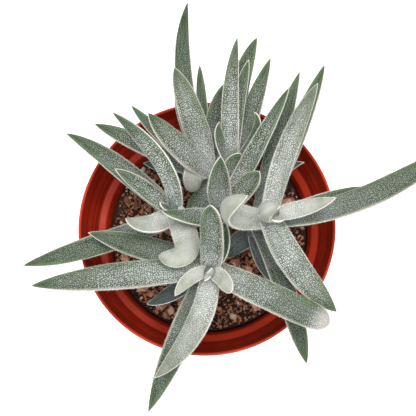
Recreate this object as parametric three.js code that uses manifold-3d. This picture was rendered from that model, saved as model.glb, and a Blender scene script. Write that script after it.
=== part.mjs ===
// A potted Crassula mesembryanthemoides: a small succulent with long, pointed, hairy leaves in
// opposite pairs, growing as six short stems from gritty mix in a terracotta-coloured nursery pot.
// Millimetres, +Z up. The origin is the middle of the pot's flat underside.
import * as THREE from 'three';
import Module from 'manifold-3d';

const wasm = await Module();
wasm.setup();

// Driving dimensions of the pot
const POT_HEIGHT = 70;
const RIM_RADIUS = 42.5;
const RIM_LAND = 1.0;
const RIM_BEAD_HEIGHT = 1.5;
const WALL = 1.1;
const LEDGE_HEIGHT = 61;
const LEDGE_OUTER_RADIUS = 37;
const LEDGE_INNER_RADIUS = 34.4;
const LEDGE_DROP = 0.6;
const BODY_TOP_HEIGHT = 57;
const BODY_TOP_RADIUS = 33;
const BASE_RADIUS = 27.5;
const BASE_THICKNESS = 1.4;
const POT_SIDES = 72;

// Driving dimensions of the drainage slots in the base
const SLOT_COUNT = 8;
const SLOT_WIDTH = 3;
const SLOT_LENGTH = 7;
const SLOT_RING_RADIUS = 19;

// Driving dimensions of the soil
const SOIL_LEVEL = 58.5;
const SOIL_GAP = 0.3;
const SOIL_SIDES = 48;
const SOIL_RINGS = 9;
const SOIL_ROUGHNESS = 0.9;
const SOIL_SEED = 7;
const GRAIN_COUNT = 26;
const GRAIN_SIZE = [1.1, 1.7];
const STONE_FLATNESS = 0.7;
const STONE_TILT = 0.5;
const STONE_SINK = 0.7;
const STONE_RISE = 0.15;

// Driving dimensions of the stems
const STEM_FOOT_HEIGHT = 44;
const STEM_UPRIGHT_TO = 62;
const STEM_FOOT_RADIUS = 2.3;
const STEM_TIP_RADIUS = 1.7;
const STEM_SIDES = 10;
const STEM_STEPS = 4;
const STEM_LEAN_POWER = 1.6;
const STEM_HOLE_GAP = 0.3;

// How a leaf is unless its row says otherwise: its width at the root as a share of its greatest width
// (base), how late its margins close in (point), how sharply they meet at the tip (end), its thickness
// as a share of its width, its twist in degrees and its number of cross-sections
const LEAF_USUAL = { base: 0.72, point: 2.3, end: 0.85, thick: 0.46, twist: 0, rings: 7 };

// Shares of a leaf's width, thickness and length
const LEAF_UPPER_SHARE = 0.32;
const LEAF_WIDEST_AT = 0.4;
const LEAF_END_WIDTH = 0.07;
const LEAF_SECTION_CORNERS = 8;
const LEAF_THINNING = 0.8;
const TIPWARD_CROWDING = 1.35;

// Colours
const COLOURS = {
  pot: 0xb8402a,
  soil: 0x5a3a2c,
  leaf: 0x93a08c,
};

// The six stems. Foot and tip give where a stem leaves the soil and where it ends.
// Each leaf has the height of its root on the stem, the midrib's halfway point, its tip and its
// greatest width, and where they are unusual the values that LEAF_USUAL lists.
const STEMS = {
  leafy_stem_front: {
    foot: [1.5, -13],
    tip: [3, -21, 105],
    leaves: [
      { root: 76, mid: [-10, -23, 79], tip: [-19, -26.5, 76], width: 5.6 },
      { root: 80, mid: [-17, -10.5, 87], tip: [-37, -5, 88], width: 8.2 },
      { root: 88, mid: [-7.5, -40.5, 92], tip: [-17.5, -62.5, 86], width: 7.8 },
      { root: 88, mid: [6.5, -12.5, 94], tip: [8, -5, 98], width: 4.5 },
      { root: 96, mid: [-25.5, -21, 99], tip: [-54.5, -23, 93], width: 8.4 },
      { root: 96, mid: [22, -28.5, 101], tip: [39.5, -38, 107], width: 8.6, point: 10, end: 0.6, rings: 9 },
      { root: 100, mid: [4, -12.5, 111], tip: [4, -3.5, 121], width: 7.4, point: 5, end: 0.75 },
      { root: 100, mid: [-1.5, -38, 103], tip: [-14.5, -53, 98], width: 7.2 },
      { root: 101, mid: [-3, -23.5, 107], tip: [-7.5, -29, 108], width: 4.2, point: 3, end: 0.8 },
      { root: 101, mid: [7.2, -24, 107], tip: [9.5, -28.6, 110], width: 4.8, point: 4, end: 0.6 },
      { root: 104, mid: [3.5, -21.5, 107.5], tip: [4, -20.5, 109], width: 2.6, end: 0.6, thick: 0.8 },
      { root: 104, mid: [2.5, -23, 107.5], tip: [1.5, -24.5, 108.5], width: 2, end: 0.6, thick: 0.8 },
    ],
  },
  leafy_stem_right: {
    foot: [14, -4],
    tip: [23, -4.3, 112],
    leaves: [
      { root: 71, mid: [22.5, 13.5, 76], tip: [32.5, 20, 76], width: 4.4, point: 3 },
      { root: 72, mid: [10.5, -7, 77], tip: [7.5, -11, 74], width: 6.6 },
      { root: 80, mid: [30.5, 28, 88], tip: [39.5, 50, 88], width: 6.8, point: 2.6 },
      { root: 80, mid: [17.5, -10, 80], tip: [21, -19, 74], width: 5 },
      { root: 89, mid: [24, 23, 92], tip: [31.5, 47, 91], width: 6.3 },
      { root: 89, mid: [26, -24.5, 91], tip: [32.5, -47, 82], width: 6.4, point: 3.5 },
      { root: 97, mid: [37, 2, 99], tip: [50.5, 7.5, 95], width: 4.6 },
      { root: 103, mid: [50, 1, 107], tip: [80, 20, 97], width: 7.2, point: 3 },
      { root: 103, mid: [9.5, -5, 117], tip: [15.5, -1.5, 125], width: 8, point: 3, rings: 10 },
      { root: 106, mid: [30, -20.5, 107], tip: [42, -33, 99], width: 8.6 },
      { root: 106, mid: [27, 15.5, 111], tip: [37, 39, 104], width: 6.6 },
      { root: 109, mid: [33, -3.3, 115.5], tip: [42, -1, 118], width: 5.2 },
      { root: 109, mid: [21, -4.6, 117], tip: [24.5, -3.2, 119.5], width: 5.4, point: 4, thick: 0.7 },
      { root: 111, mid: [23.5, -6.6, 114], tip: [26, -7, 114.5], width: 2.6, end: 0.7, thick: 0.6 },
      { root: 111, mid: [23.4, -4.3, 114], tip: [25, -3, 115.5], width: 1.8, thick: 0.6 },
    ],
  },
  leafy_stem_left: {
    foot: [-8, 0],
    tip: [-9.3, 1.5, 95],
    leaves: [
      { root: 84, mid: [-35.5, -8, 82], tip: [-60, -13.5, 76], width: 7.2 },
      { root: 84, mid: [-29, 18.5, 85], tip: [-45.5, 29, 84], width: 6.8 },
      { root: 88, mid: [-19.3, 9, 91], tip: [-28, 14.5, 94], width: 5.4 },
      { root: 91, mid: [-12.3, 14, 104], tip: [-28.5, 31.5, 101], width: 6, point: 2.1 },
      { root: 90, mid: [-16.5, -4, 96], tip: [-24, -2.5, 98], width: 6.6, point: 3 },
      { root: 93, mid: [-4.5, -13.5, 101.5], tip: [-13, -15.5, 103],
        width: 7.8, point: 4, end: 0.7, twist: -50, rings: 10 },
      { root: 93, mid: [-12, 1.5, 97], tip: [-13, 2.5, 98.5], width: 2.2, thick: 0.8 },
    ],
  },
  leafy_stem_middle: {
    foot: [4, -1],
    tip: [6.5, 1, 98],
    leaves: [
      { root: 86, mid: [8, 11.5, 91], tip: [12.3, 18.6, 96], width: 6.2, point: 5 },
      { root: 88, mid: [19.2, 21.8, 103], tip: [28, 39, 100], width: 5.7, point: 1.9 },
      { root: 93, mid: [13.6, 6.6, 99], tip: [18.5, 11, 103], width: 6.8, point: 4 },
      { root: 86, mid: [-3.3, -2.8, 101], tip: [-12, -1.5, 103.5], width: 6.6 },
      { root: 95, mid: [6, 6, 108], tip: [7, 12.5, 118], width: 7.2 },
    ],
  },
  leafy_stem_back: {
    foot: [9, 15],
    tip: [9, 17, 85],
    leaves: [
      { root: 76, mid: [11, 39, 86], tip: [17.5, 60, 86], width: 6.2, point: 3.5 },
      { root: 80, mid: [15.8, 35.5, 88], tip: [22, 52.5, 88], width: 6.3, point: 2 },
      { root: 83, mid: [11.3, 33.5, 94], tip: [15, 50, 94], width: 4.4, point: 3.5 },
      { root: 85, mid: [9.3, 35.5, 101], tip: [11.5, 56.5, 98], width: 5.4, point: 2 },
      { root: 84, mid: [16.8, 25.6, 93], tip: [16.7, 32, 96], width: 3.2, point: 4, end: 0.8 },
      { root: 84, mid: [5.6, 23.5, 95], tip: [5.9, 27.4, 102], width: 3.5, point: 3 },
    ],
  },
  leafy_stem_back_left: {
    foot: [1, 14],
    tip: [2, 15.5, 86],
    leaves: [
      { root: 79, mid: [0.5, 9.7, 79], tip: [-6.5, 1.5, 77], width: 6.6, point: 3 },
      { root: 72, mid: [-10, 17.8, 77], tip: [-20.5, 20.5, 76], width: 5.4 },
      { root: 78, mid: [-6, 43.5, 90], tip: [-5.5, 74, 82], width: 5.8 },
      { root: 78, mid: [-0.5, 35, 84], tip: [-1.5, 52, 83], width: 3.8, point: 3.5 },
      { root: 79, mid: [-12.5, 26, 86], tip: [-24, 38, 85], width: 5 },
      { root: 78, mid: [-17, 23.3, 84], tip: [-36, 32, 84], width: 6.2, point: 3 },
      { root: 81, mid: [3.4, 32.5, 87], tip: [7.3, 44.3, 88], width: 5.8 },
      { root: 81, mid: [-6, 31, 91], tip: [-8.6, 41, 92], width: 4.2 },
      { root: 84, mid: [-3, 30.3, 98], tip: [-8.5, 45.5, 102], width: 8, base: 0.45, point: 3 },
      { root: 86, mid: [-7.2, 20.7, 98], tip: [-17, 31.5, 99], width: 8.2 },
      { root: 84, mid: [-3, 13.8, 90], tip: [-2.3, 8.8, 86],
        width: 6.6, base: 0.5, point: 5, end: 0.6, thick: 0.65, rings: 9 },
    ],
  },
};

// Pumice stones lying on the soil: place and size
const PUMICE = [
  { at: [-8, -24], size: 3.4 },
  { at: [-22, -18.5], size: 1.8 },
  { at: [-19, -20.5], size: 1.6 },
  { at: [-16, -24.5], size: 1.9 },
  { at: [-28, -8], size: 2.2 },
  { at: [9, -10], size: 2 },
  { at: [13.5, -12.5], size: 1.7 },
  { at: [16, -24.5], size: 1.8 },
  { at: [27, 10.5], size: 2.2 },
  { at: [-12.5, 16.5], size: 2.4 },
];

// A steady run of random numbers between 0 and 1
function randomRun(seed) {
  let state = seed;
  return () => {
    state = (state * 1664525 + 1013904223) % 4294967296;
    return state / 4294967296;
  };
}

// A solid from corner points and triangles
function solidFrom(points, triangles) {
  const mesh = new wasm.Mesh({
    numProp: 3,
    vertProperties: new Float32Array(points.flat()),
    triVerts: new Uint32Array(triangles.flat()),
  });
  return new wasm.Manifold(mesh);
}

// A solid from a three.js shape whose corner points may be doubled along seams
function solidFromGeometry(geometry) {
  const position = geometry.getAttribute('position');
  const corners = new Map();
  const points = [];
  const cornerOf = (index) => {
    const point = [position.getX(index), position.getY(index), position.getZ(index)];
    const key = point.map((value) => Math.round(value * 10000)).join(',');
    if (!corners.has(key)) {
      corners.set(key, points.length);
      points.push(point);
    }
    return corners.get(key);
  };
  const order = geometry.index ? Array.from(geometry.index.array) : [...Array(position.count).keys()];
  const triangles = [];
  for (let start = 0; start < order.length; start += 3) {
    const triangle = order.slice(start, start + 3).map(cornerOf);
    if (new Set(triangle).size === 3) {
      triangles.push(triangle);
    }
  }
  return solidFrom(points, triangles);
}

function meshFrom(name, solid, material) {
  const result = solid.getMesh();
  const geometry = new THREE.BufferGeometry();
  geometry.setAttribute('position', new THREE.BufferAttribute(new Float32Array(result.vertProperties), 3));
  geometry.setIndex(new THREE.BufferAttribute(new Uint32Array(result.triVerts), 1));
  geometry.computeVertexNormals();
  const mesh = new THREE.Mesh(geometry, material);
  mesh.name = name;
  return mesh;
}

// Rings of equally many points, joined into a closed body. The ends are closed to their middle.
function loftRings(rings) {
  const sides = rings[0].length;
  const points = rings.flat();
  const triangles = [];
  for (let ring = 0; ring + 1 < rings.length; ring += 1) {
    for (let side = 0; side < sides; side += 1) {
      const next = (side + 1) % sides;
      const here = ring * sides;
      const above = here + sides;
      triangles.push([here + side, here + next, above + next]);
      triangles.push([here + side, above + next, above + side]);
    }
  }
  const closeEnd = (ring, facesBack) => {
    const middle = points.length;
    const sum = [0, 1, 2].map((axis) => rings[ring].reduce((total, point) => total + point[axis], 0));
    points.push(sum.map((value) => value / sides));
    for (let side = 0; side < sides; side += 1) {
      const first = ring * sides + side;
      const second = ring * sides + ((side + 1) % sides);
      triangles.push(facesBack ? [middle, second, first] : [middle, first, second]);
    }
  };
  closeEnd(0, true);
  closeEnd(rings.length - 1, false);
  return solidFrom(points, triangles);
}

// The pot: one thin moulded shell. Its collar flares from an inner ledge up to a beaded rim.
function potSolid() {
  const inside = potInsideProfile();
  const outside = [
    [RIM_RADIUS, POT_HEIGHT],
    [RIM_RADIUS, POT_HEIGHT - RIM_BEAD_HEIGHT],
    [RIM_RADIUS - WALL / 2, POT_HEIGHT - RIM_BEAD_HEIGHT - WALL / 2],
    [LEDGE_OUTER_RADIUS + WALL, LEDGE_HEIGHT - WALL],
    [LEDGE_INNER_RADIUS + WALL, LEDGE_HEIGHT - LEDGE_DROP - WALL],
    [BODY_TOP_RADIUS + WALL, BODY_TOP_HEIGHT - WALL],
    [BASE_RADIUS + WALL, WALL],
    [BASE_RADIUS + WALL / 2, 0],
    [0, 0],
  ];
  const corners = [...inside, ...outside].reverse();
  const profile = corners.map(([radius, height]) => new THREE.Vector2(radius, height));
  const shell = solidFromGeometry(zUp(new THREE.LatheGeometry(profile, POT_SIDES)));
  return drainageSlots().reduce((pot, slot) => pot.subtract(slot), shell);
}

// Inner surface of the pot from the middle of the base up to the rim, as radius and height
function potInsideProfile() {
  return [
    [0, BASE_THICKNESS],
    [BASE_RADIUS, BASE_THICKNESS],
    [BODY_TOP_RADIUS, BODY_TOP_HEIGHT],
    [LEDGE_INNER_RADIUS, LEDGE_HEIGHT - LEDGE_DROP],
    [LEDGE_OUTER_RADIUS, LEDGE_HEIGHT],
    [RIM_RADIUS - RIM_LAND, POT_HEIGHT - RIM_LAND / 3],
    [RIM_RADIUS - RIM_LAND / 2, POT_HEIGHT],
  ];
}

function zUp(geometry) {
  return geometry.rotateX(Math.PI / 2);
}

function drainageSlots() {
  const slots = [];
  for (let index = 0; index < SLOT_COUNT; index += 1) {
    const slot = new THREE.BoxGeometry(SLOT_LENGTH, SLOT_WIDTH, BASE_THICKNESS * 4);
    slot.translate(SLOT_RING_RADIUS, 0, 0);
    slot.rotateZ((index / SLOT_COUNT) * Math.PI * 2);
    slots.push(solidFromGeometry(slot));
  }
  return slots;
}

// Radius of the pot's inside at a height below the ledge
function potInsideRadius(height) {
  const share = (height - BASE_THICKNESS) / (BODY_TOP_HEIGHT - BASE_THICKNESS);
  return BASE_RADIUS + (BODY_TOP_RADIUS - BASE_RADIUS) * Math.min(share, 1);
}

// The soil: a rough top of crumbs over a plain body that fills the pot
function soilSolid() {
  const random = randomRun(SOIL_SEED);
  const edgeRadius = BODY_TOP_RADIUS - SOIL_GAP;
  const bottom = BASE_THICKNESS + SOIL_GAP;
  const ringOf = (radius, heightAt, wobble) => {
    const ring = [];
    for (let side = 0; side < SOIL_SIDES; side += 1) {
      const angle = (side / SOIL_SIDES) * Math.PI * 2;
      const reach = radius + wobble * (random() - 0.5);
      ring.push([reach * Math.cos(angle), reach * Math.sin(angle), heightAt()]);
    }
    return ring;
  };
  const level = (height) => () => height;
  const rings = [
    ringOf(potInsideRadius(bottom) - SOIL_GAP, level(bottom), 0),
    ringOf(edgeRadius, level(BODY_TOP_HEIGHT), 0),
  ];
  const crumb = () => SOIL_LEVEL + SOIL_ROUGHNESS * (random() * 2 - 1);
  const spacing = edgeRadius / SOIL_RINGS;
  for (let ring = SOIL_RINGS - 1; ring > 0; ring -= 1) {
    rings.push(ringOf(ring * spacing, crumb, spacing / 2));
  }
  let soil = loftRings(rings);
  for (const stone of looseStones(random)) {
    soil = soil.add(stone);
  }
  return Object.values(STEMS).reduce((body, stem) => body.subtract(stemHole(stem)), soil);
}

// Pumice stones at their places and smaller grains strewn between them, half sunk in the soil
function looseStones(random) {
  const stones = PUMICE.map(({ at, size }) => stoneSolid(at, size, 1, random));
  for (let index = 0; index < GRAIN_COUNT; index += 1) {
    const reach = (BODY_TOP_RADIUS - GRAIN_SIZE[1] * 2) * Math.sqrt(random());
    const angle = random() * Math.PI * 2;
    const size = GRAIN_SIZE[0] + (GRAIN_SIZE[1] - GRAIN_SIZE[0]) * random();
    const at = [reach * Math.cos(angle), reach * Math.sin(angle)];
    if (isClearOfStems(at, size)) {
      stones.push(stoneSolid(at, size, 0, random));
    }
  }
  return stones;
}

function isClearOfStems([x, y], size) {
  const reach = size + STEM_FOOT_RADIUS * 2;
  return Object.values(STEMS).every(({ foot }) => Math.hypot(x - foot[0], y - foot[1]) > reach);
}

function stoneSolid([x, y], size, detail, random) {
  const stone = new THREE.IcosahedronGeometry(size, detail);
  stone.scale(1, STONE_FLATNESS + (1 - STONE_FLATNESS) * random(), STONE_FLATNESS);
  stone.rotateZ(random() * Math.PI);
  stone.rotateX(random() * STONE_TILT);
  stone.translate(x, y, SOIL_LEVEL - STONE_SINK + size * STONE_RISE);
  return solidFromGeometry(stone);
}

// Where a stem's middle is at a height: upright in the soil, then leaning more towards its tip
function stemMiddle({ foot, tip }, height) {
  const share = Math.max(0, (height - STEM_UPRIGHT_TO) / (tip[2] - STEM_UPRIGHT_TO));
  const lean = share ** STEM_LEAN_POWER;
  return [foot[0] + (tip[0] - foot[0]) * lean, foot[1] + (tip[1] - foot[1]) * lean, height];
}

function stemRadius({ tip }, height) {
  const share = Math.max(0, (height - STEM_UPRIGHT_TO) / (tip[2] - STEM_UPRIGHT_TO));
  return STEM_FOOT_RADIUS + (STEM_TIP_RADIUS - STEM_FOOT_RADIUS) * share;
}

function levelRing([x, y, z], radius, sides) {
  const ring = [];
  for (let side = 0; side < sides; side += 1) {
    const angle = (side / sides) * Math.PI * 2;
    ring.push([x + radius * Math.cos(angle), y + radius * Math.sin(angle), z]);
  }
  return ring;
}

function stemSolid(stem) {
  const heights = [STEM_FOOT_HEIGHT, STEM_UPRIGHT_TO];
  for (let step = 1; step <= STEM_STEPS; step += 1) {
    heights.push(STEM_UPRIGHT_TO + ((stem.tip[2] - STEM_UPRIGHT_TO) * step) / STEM_STEPS);
  }
  const ringAt = (height) => levelRing(stemMiddle(stem, height), stemRadius(stem, height), STEM_SIDES);
  const rings = heights.map(ringAt);
  const crown = stem.tip[2] + STEM_TIP_RADIUS / 2;
  rings.push(levelRing([stem.tip[0], stem.tip[1], crown], STEM_TIP_RADIUS / 2, STEM_SIDES));
  return loftRings(rings);
}

// The plain round hole in the soil that a stem stands in
function stemHole({ foot }) {
  const heights = [STEM_FOOT_HEIGHT - STEM_HOLE_GAP, STEM_UPRIGHT_TO];
  const radius = STEM_FOOT_RADIUS + STEM_HOLE_GAP;
  return loftRings(heights.map((height) => levelRing([foot[0], foot[1], height], radius, STEM_SIDES * 2)));
}

// Width of a leaf along its length, as a share of its greatest width
function leafOutline(along, base, point, end) {
  if (along < LEAF_WIDEST_AT) {
    const rise = Math.sin((along / LEAF_WIDEST_AT) * (Math.PI / 2));
    return base + (1 - base) * rise;
  }
  const narrowing = ((along - LEAF_WIDEST_AT) / (1 - LEAF_WIDEST_AT)) ** point;
  return Math.max(LEAF_END_WIDTH, (1 - narrowing) ** end);
}

// Shares of the length at which a leaf gets a cross-section: closer together towards its tip
function leafStations(rings) {
  const stations = [];
  for (let ring = 0; ring < rings; ring += 1) {
    stations.push(1 - (1 - ring / (rings - 1)) ** TIPWARD_CROWDING);
  }
  return stations;
}

// One fleshy leaf: a flat lens in section, rounder below than above, bent along its midrib
function leafSolid(stem, leaf) {
  const { root, mid, tip, width, thick, twist, rings, ...outline } = { ...LEAF_USUAL, ...leaf };
  const start = new THREE.Vector3(...stemMiddle(stem, root));
  const end = new THREE.Vector3(...tip);
  const chordMiddle = start.clone().lerp(end, 0.5);
  const pull = new THREE.Vector3(...mid).multiplyScalar(2).sub(chordMiddle);
  const midrib = new THREE.QuadraticBezierCurve3(start, pull, end);
  const across = new THREE.Vector3(0, 0, 1).cross(midrib.getTangent(0)).normalize();
  const sections = leafStations(rings).map((along) => {
    const forward = midrib.getTangentAt(along);
    across.addScaledVector(forward, -across.dot(forward)).normalize();
    const side = across.clone().applyAxisAngle(forward, THREE.MathUtils.degToRad(twist * along * along));
    const upward = forward.clone().cross(side);
    const share = leafOutline(along, outline.base, outline.point, outline.end);
    const thickness = width * thick * share ** LEAF_THINNING;
    return leafSection(midrib.getPointAt(along), side, upward, width * share, thickness);
  });
  return loftRings(sections);
}

function leafSection(middle, side, upward, width, thickness) {
  const section = [];
  for (let corner = 0; corner < LEAF_SECTION_CORNERS; corner += 1) {
    const angle = (corner / LEAF_SECTION_CORNERS) * Math.PI * 2;
    const lift = Math.sin(angle);
    const depth = lift > 0 ? LEAF_UPPER_SHARE : 1 - LEAF_UPPER_SHARE;
    const offset = side.clone().multiplyScalar(Math.cos(angle) * width * 0.5);
    offset.addScaledVector(upward, lift * depth * thickness);
    section.push(middle.clone().add(offset).toArray());
  }
  return section;
}

function leafyStemSolid(stem) {
  return stem.leaves.reduce((plant, leaf) => plant.add(leafSolid(stem, leaf)), stemSolid(stem));
}

// Materials and the finished assembly
const potPlastic = new THREE.MeshStandardMaterial({ color: COLOURS.pot, roughness: 0.45, metalness: 0 });
const pottingMix = new THREE.MeshStandardMaterial({ color: COLOURS.soil, roughness: 1, metalness: 0 });
const hairyLeaf = new THREE.MeshStandardMaterial({ color: COLOURS.leaf, roughness: 0.85, metalness: 0 });

const plant = new THREE.Group();
plant.name = 'potted_crassula_mesembryanthemoides';
plant.add(meshFrom('pot', potSolid(), potPlastic));
plant.add(meshFrom('soil', soilSolid(), pottingMix));
for (const [name, stem] of Object.entries(STEMS)) {
  plant.add(meshFrom(name, leafyStemSolid(stem), hairyLeaf));
}

export default plant;
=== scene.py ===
# %% [markdown]
# # A hairy little succulent in its nursery pot
# The object is a young Crassula mesembryanthemoides: six short stems of long, pointed, fleshy leaves
# in a terracotta-coloured plastic pot, seen almost from above. A solid model of it is already
# finished and is loaded here as the frame. This lesson puts the real surface on it: fine leaves with
# their white hairs, a gritty soil made of single crumbs, and moulded plastic with a soft gloss.
# Loading the frame first keeps every new piece at the same place and size as its solid.

import math

import bmesh
import bpy
import numpy as np
from mathutils import Matrix, Vector, noise


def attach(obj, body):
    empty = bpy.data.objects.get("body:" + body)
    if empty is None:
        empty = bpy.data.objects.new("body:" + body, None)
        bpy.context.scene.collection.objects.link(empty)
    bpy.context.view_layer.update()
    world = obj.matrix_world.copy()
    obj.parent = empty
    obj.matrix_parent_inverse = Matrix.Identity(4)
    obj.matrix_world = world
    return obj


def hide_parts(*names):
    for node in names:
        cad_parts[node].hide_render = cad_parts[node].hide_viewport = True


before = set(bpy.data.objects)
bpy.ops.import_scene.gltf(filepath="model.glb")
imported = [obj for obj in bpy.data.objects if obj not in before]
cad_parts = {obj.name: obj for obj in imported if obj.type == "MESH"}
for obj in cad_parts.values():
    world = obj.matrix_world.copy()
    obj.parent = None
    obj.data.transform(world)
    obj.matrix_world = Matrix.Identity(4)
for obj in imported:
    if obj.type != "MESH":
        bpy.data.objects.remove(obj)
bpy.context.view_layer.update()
MM = 0.001
print("solids in the frame:", ", ".join(sorted(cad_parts)))

# %% [markdown]
# ## Writing shader sums as plain sums
# A finish is a tree of nodes. Wiring each node by hand hides the idea, so one small class wraps an
# output socket and lets it be added, multiplied and subtracted like a number: 1 - mask adds the
# Math node that does it. Colours never go through a Math node, because it would turn them grey.

# %% A socket that can be used in sums
class Wire:
    """An output socket of a finish. A sum on it adds a Math node."""

    def __init__(self, finish, socket):
        self.finish, self.socket = finish, socket

    def sum(self, operation, *values):
        return self.finish.add("ShaderNodeMath", {"operation": operation}, dict(enumerate(values)))

    def __add__(self, other):
        return self.sum("ADD", self, other)

    def __sub__(self, other):
        return self.sum("SUBTRACT", self, other)

    def __rsub__(self, other):
        return self.sum("SUBTRACT", other, self)

    def __mul__(self, other):
        return self.sum("MULTIPLY", self, other)

    def __pow__(self, other):
        return self.sum("POWER", self, other)

    def __abs__(self):
        return self.sum("ABSOLUTE", self)

    __radd__, __rmul__ = __add__, __mul__

    def clamped(self):
        return self.sum("MAXIMUM", self.sum("MINIMUM", self, 1.0), 0.0)


# %% [markdown]
# The other nodes come from one method of the finish. It takes the type of a node, then its settings
# and then what goes into its sockets, so that each line of a finish reads as one step.

# %% A finish and its nodes
class Finish:
    """A material under construction."""

    def __init__(self, name):
        self.material = bpy.data.materials.new(name)
        self.material.use_nodes = True
        self.tree = self.material.node_tree
        self.tree.nodes.clear()
        self.place = self.add("ShaderNodeTexCoord", out="Object")

    def add(self, kind, settings=None, values=None, out=0):
        node = self.tree.nodes.new(kind)
        for name, value in (settings or {}).items():
            setattr(node, name, value)
        for name, value in (values or {}).items():
            if isinstance(value, Wire):
                self.tree.links.new(value.socket, node.inputs[name])
            else:
                node.inputs[name].default_value = value
        return Wire(self, node.outputs[out]) if node.outputs else None

    def mark(self, name):
        """A number that the mesh carries at each of its points."""
        return self.add("ShaderNodeAttribute", {"attribute_name": name}, out="Fac")

    def cloud(self, size, detail=2.0, stretch=None):
        """Soft noise with blots of about that size in millimetres."""
        values = {"Vector": self.stretched(stretch), "Scale": 1 / (size * MM), "Detail": detail}
        return self.add("ShaderNodeTexNoise", None, values)

    def cells(self, size):
        """Distance from the middle of the nearest of many cells of that size in millimetres."""
        values = {"Vector": self.place, "Scale": 1 / (size * MM)}
        return self.add("ShaderNodeTexVoronoi", {"feature": "F1"}, values)

    def stretched(self, stretch):
        if stretch is None:
            return self.place
        return self.add("ShaderNodeVectorMath", {"operation": "MULTIPLY"}, {0: self.place, 1: stretch})

    def ramp(self, value, low, high):
        """0 below low and 1 above high, with a soft step between them. It falls if low is above high."""
        numbers = {"Value": value, "From Min": low, "From Max": high}
        return self.add("ShaderNodeMapRange", {"interpolation_type": "SMOOTHSTEP"}, numbers)

    def blend(self, mask, first, second):
        """The first colour where mask is 0 and the second where it is 1."""
        settings = {"data_type": "RGBA", "blend_type": "MIX", "clamp_factor": True}
        return self.add("ShaderNodeMix", settings, {0: mask, 6: first, 7: second}, out=2)

    def bump(self, height, depth, strength=1.0):
        """A relief: height from 0 to 1 stands for that many millimetres."""
        values = {"Height": height, "Distance": depth * MM, "Strength": strength}
        return self.add("ShaderNodeBump", None, values)

    def done(self, sockets):
        surface = self.add("ShaderNodeBsdfPrincipled", None, sockets)
        self.add("ShaderNodeOutputMaterial", {"is_active_output": True}, {"Surface": surface})
        return self.material


# %% [markdown]
# Colours are easier to judge as they look on a screen, so they are written as red, green and blue
# from 0 to 255 and turned into the linear light that a shader works with.

# %% Screen colours to light
def colour(red, green, blue):
    def light(level):
        share = level / 255
        return share / 12.92 if share <= 0.04045 else ((share + 0.055) / 1.055) ** 2.4

    return (light(red), light(green), light(blue), 1.0)


print("a mid grey of 128 gives off", round(colour(128, 128, 128)[0], 3), "of the light on it")

# %% [markdown]
# ## Turning points and faces into a piece
# Every piece below is worked out as lists of points and faces in millimetres. One helper turns them
# into a mesh and lets it carry its marks, such as how far along a leaf each point is. The finish
# reads the marks, so colour can follow the leaf's form.

# %% Make a piece
def make_piece(name, points, faces, material, marks=None, smooth=True):
    mesh = bpy.data.meshes.new(name)
    mesh.from_pydata((np.asarray(points) * MM).tolist(), [], [list(face) for face in faces])
    for mark, values in (marks or {}).items():
        layer = mesh.attributes.new(mark, "FLOAT", "POINT")
        layer.data.foreach_set("value", np.asarray(values, dtype=np.float32))
    mesh.polygons.foreach_set("use_smooth", [smooth] * len(mesh.polygons))
    mesh.materials.append(material)
    mesh.update()
    piece = bpy.data.objects.new(name, mesh)
    bpy.context.scene.collection.objects.link(piece)
    print(f"{name}: {sum(len(face) - 2 for face in faces)} triangles")
    return piece


def join_parts(parts):
    """Several (points, faces, marks) as one."""
    points = np.concatenate([part[0] for part in parts])
    starts = np.cumsum([0] + [len(part[0]) for part in parts])
    faces = [
        tuple(corner + start for corner in face) for part, start in zip(parts, starts) for face in part[1]
    ]
    marks = {mark: np.concatenate([part[2][mark] for part in parts]) for mark in parts[0][2]}
    return points, faces, marks


def rings_to_faces(rings, around):
    """The faces between rings of equally many points, and a fan from a middle point over each end."""
    faces = []
    for ring in range(rings - 1):
        for side in range(around):
            here, following = ring * around + side, ring * around + (side + 1) % around
            faces.append((here, following, following + around, here + around))
    start, end = rings * around, rings * around + 1
    last = (rings - 1) * around
    faces += [(start, (side + 1) % around, side) for side in range(around)]
    faces += [(end, last + side, last + (side + 1) % around) for side in range(around)]
    return faces


# %% [markdown]
# ## The pot
# A nursery pot is moulded from thin polypropylene: its collar flares from a ledge inside up to a
# beaded lip. It is round, so one profile turned about the upright axis makes it. The corners of
# the profile are rounded first, because no moulded edge is sharp and a rounded edge is what catches
# the thin highlights along the lip and the ledge.

# %% Rounded profile
POT_PROFILE = [  # radius, height and how round that corner is
    (0, 1.4, 0), (27.5, 1.4, 1.5), (33, 57, 0.8), (34.4, 60.4, 0.5), (37, 61, 0.7),
    (41.5, 69.67, 0.35), (42, 70, 0.25), (42.5, 70, 0.25), (42.5, 68.5, 0.35), (41.95, 67.95, 0.3),
    (38.1, 59.9, 0.8), (35.5, 59.3, 0.5), (34.1, 55.9, 0.8), (28.6, 1.1, 0.6), (28.05, 0, 0.4), (0, 0, 0),
]


def rounded(profile, steps=4):
    corners = [np.array(corner[:2], float) for corner in profile]
    line = [corners[0]]
    for index in range(1, len(profile) - 1):
        before, here, after = corners[index - 1 : index + 2]
        reach = min(profile[index][2], *(np.linalg.norm(end - here) * 0.45 for end in (before, after)))
        start = here + (before - here) / np.linalg.norm(before - here) * reach
        end = here + (after - here) / np.linalg.norm(after - here) * reach
        for share in np.linspace(0, 1, steps + 1):
            line.append((1 - share) ** 2 * start + 2 * (1 - share) * share * here + share**2 * end)
    line.append(corners[-1])
    return np.array(line)


pot_line = rounded(POT_PROFILE)
print("points in the pot's profile:", len(pot_line))

# %% [markdown]
# The base has eight slots for water. Each is cut out of the turned shape with a Boolean, because a
# box taken away leaves the clean straight walls that a mould's pins leave.

# %% Turn a profile
POT_SIDES = 192
SLOTS, SLOT_SIZE, SLOT_RADIUS = 8, (7, 3, 6), 19


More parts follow.
